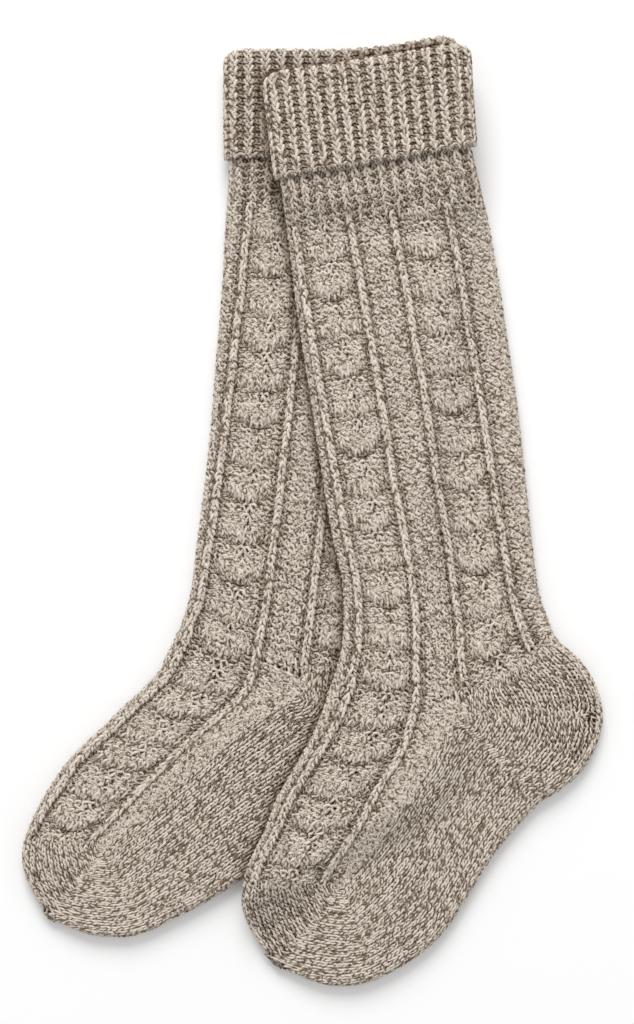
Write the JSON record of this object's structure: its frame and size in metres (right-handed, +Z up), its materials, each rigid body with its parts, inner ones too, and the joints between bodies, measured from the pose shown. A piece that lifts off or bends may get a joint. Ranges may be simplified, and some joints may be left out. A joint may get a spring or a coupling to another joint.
{
  "type": "pair of knee-high socks",
  "caption": "Thick knitted knee-high socks laid flat, the right one partly over the left, with turned-down ribbed cuffs, raised ribs and leaf panels, turned heels and rounded toes.",
  "frame": {"origin": "on the table, under the middle of the laid pair", "axes": "+Y up the legs towards the cuffs, +X across from the left sock's toe towards the right sock's heel, +Z up from the table"},
  "size_m": [0.32, 0.5234, 0.0323],
  "materials": {
    "wool_left": "matte marled wool",
    "wool_right": "matte marled wool"
  },
  "bodies": {
    "root": {"sock_left": "wool_left", "sock_right": "wool_right"}
  },
  "joints": []
}
